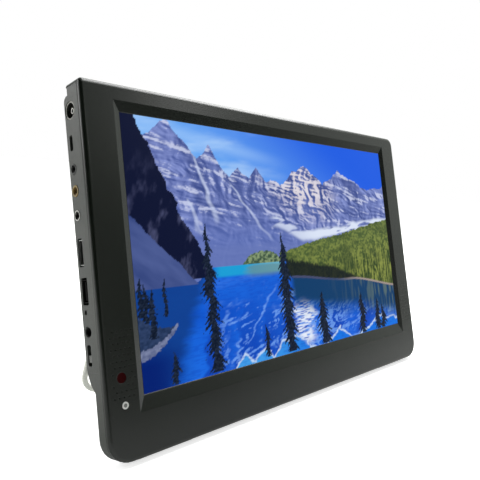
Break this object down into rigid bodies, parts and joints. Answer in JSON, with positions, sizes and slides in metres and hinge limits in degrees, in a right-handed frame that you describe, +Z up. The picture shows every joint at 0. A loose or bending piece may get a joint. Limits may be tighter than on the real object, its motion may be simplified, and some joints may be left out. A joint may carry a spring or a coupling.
{
  "type": "portable flat-panel television",
  "caption": "Slim leaning flat-panel television with side speakers behind grilles, sockets down one side and a folding wire stand behind.",
  "frame": {"origin": "centre of the overall box, on the floor", "axes": "+X to the right seen from the front, -Y towards the viewer, +Z up; the set leans back 16 degrees"},
  "size_m": [0.3653, 0.1026, 0.2234],
  "materials": {
    "bezel_plastic": "satin charcoal moulding",
    "shell_plastic": "fine textured grey moulding",
    "ir_filter": "dark red infrared filter",
    "lamp_ring": "white ring",
    "lamp_grey": "smoked lens",
    "screen": null,
    "white_plastic": "white moulding",
    "acrylic": "clear acrylic sheet",
    "led_yellow": "light strip",
    "sheet_metal": "thin plated sheet",
    "circuit_board": "green solder mask",
    "chip_black": "black epoxy",
    "heat_sink_metal": "extruded",
    "capacitor_blue": "sleeved can",
    "ribbon": "flat ribbon",
    "plated_steel": "bright plating",
    "insulator": "ivory insulator",
    "socket_black": "black moulding",
    "collar_black": "dark grey ring",
    "collar_yellow": "yellow ring",
    "collar_silver": "silver ring",
    "lamp_clear": "clear resin",
    "knob_silver": "pale grey",
    "speaker_can": "black frame",
    "speaker_cone": "black paper cone",
    "cell_foil": "foil pouch",
    "key_plastic": "dark moulding",
    "stand_wire": "pale silver lacquer",
    "bearing_plastic": "dark moulding",
    "screw_dark": "blackened steel",
    "foot_rubber": "moulded rubber"
  },
  "bodies": {
    "set": {"front_bezel": "bezel_plastic", "top_strip": "bezel_plastic", "back_shell": "shell_plastic", "socket_panel": "shell_plastic", "ir_window": "ir_filter", "lamp_collar": "lamp_ring", "lamp_lens": "lamp_grey", "lcd_glass": "screen", "lcd_frame": "white_plastic", "light_guide": "acrylic", "led_strip": "led_yellow", "lcd_tray": "sheet_metal", "tuner_can": "sheet_metal", "data_socket": "sheet_metal", "av_socket": "sheet_metal", "stick_socket": "sheet_metal", "switch_body": "sheet_metal", "key_switches": "sheet_metal", "main_board": "circuit_board", "battery_board": "circuit_board", "ir_board": "circuit_board", "key_board": "circuit_board", "processor": "chip_black", "memory_chips": "chip_black", "ir_receiver": "chip_black", "heat_sink": "heat_sink_metal", "capacitors": "capacitor_blue", "panel_ribbon": "ribbon", "antenna_sleeve": "plated_steel", "antenna_contact": "plated_steel", "dc_pin": "plated_steel", "bearing_screws": "plated_steel", "board_screws": "plated_steel", "antenna_insulator": "insulator", "earphone_jack": "socket_black", "video_jack": "socket_black", "audio_jack": "socket_black", "av_tongue": "socket_black", "stick_tongue": "socket_black", "dc_jack": "socket_black", "earphone_collar": "collar_black", "video_collar": "collar_yellow", "audio_collar": "collar_silver", "charge_lamp": "lamp_clear", "lamp_led": "lamp_clear", "speakers": "speaker_can", "speaker_cones": "speaker_cone", "battery_cells": "cell_foil", "stand_bearings": "bearing_plastic", "case_screws": "screw_dark", "feet": "foot_rubber"},
    "stand": {"kickstand": "stand_wire"},
    "switch": {"switch_knob": "knob_silver"},
    "key_1": {"key_1": "key_plastic"},
    "key_2": {"key_2": "key_plastic"},
    "key_3": {"key_3": "key_plastic"},
    "key_4": {"key_4": "key_plastic"},
    "key_5": {"key_5": "key_plastic"},
    "key_6": {"key_6": "key_plastic"},
    "key_7": {"key_7": "key_plastic"}
  },
  "joints": [
    {"name": "stand_fold", "type": "hinge", "parent": "set", "child": "stand", "pos_m": [0, 0.00787, 0.15424], "axis": [1, 0, 0], "range_deg": [-31.2, 0]},
    {"name": "power_switch", "type": "slide", "parent": "set", "child": "switch", "axis": [0, 0.2756, 0.9613], "range_m": [0, 0.004]},
    {"name": "key_1_press", "type": "slide", "parent": "set", "child": "key_1", "axis": [0, -0.2756, -0.9613], "range_m": [0, 0.0005], "stiffness_N_per_m": 400, "springref_m": -0.0005},
    {"name": "key_2_press", "type": "slide", "parent": "set", "child": "key_2", "axis": [0, -0.2756, -0.9613], "range_m": [0, 0.0005], "stiffness_N_per_m": 400, "springref_m": -0.0005},
    {"name": "key_3_press", "type": "slide", "parent": "set", "child": "key_3", "axis": [0, -0.2756, -0.9613], "range_m": [0, 0.0005], "stiffness_N_per_m": 400, "springref_m": -0.0005},
    {"name": "key_4_press", "type": "slide", "parent": "set", "child": "key_4", "axis": [0, -0.2756, -0.9613], "range_m": [0, 0.0005], "stiffness_N_per_m": 400, "springref_m": -0.0005},
    {"name": "key_5_press", "type": "slide", "parent": "set", "child": "key_5", "axis": [0, -0.2756, -0.9613], "range_m": [0, 0.0005], "stiffness_N_per_m": 400, "springref_m": -0.0005},
    {"name": "key_6_press", "type": "slide", "parent": "set", "child": "key_6", "axis": [0, -0.2756, -0.9613], "range_m": [0, 0.0005], "stiffness_N_per_m": 400, "springref_m": -0.0005},
    {"name": "key_7_press", "type": "slide", "parent": "set", "child": "key_7", "axis": [0, -0.2756, -0.9613], "range_m": [0, 0.0005], "stiffness_N_per_m": 400, "springref_m": -0.0005}
  ]
}
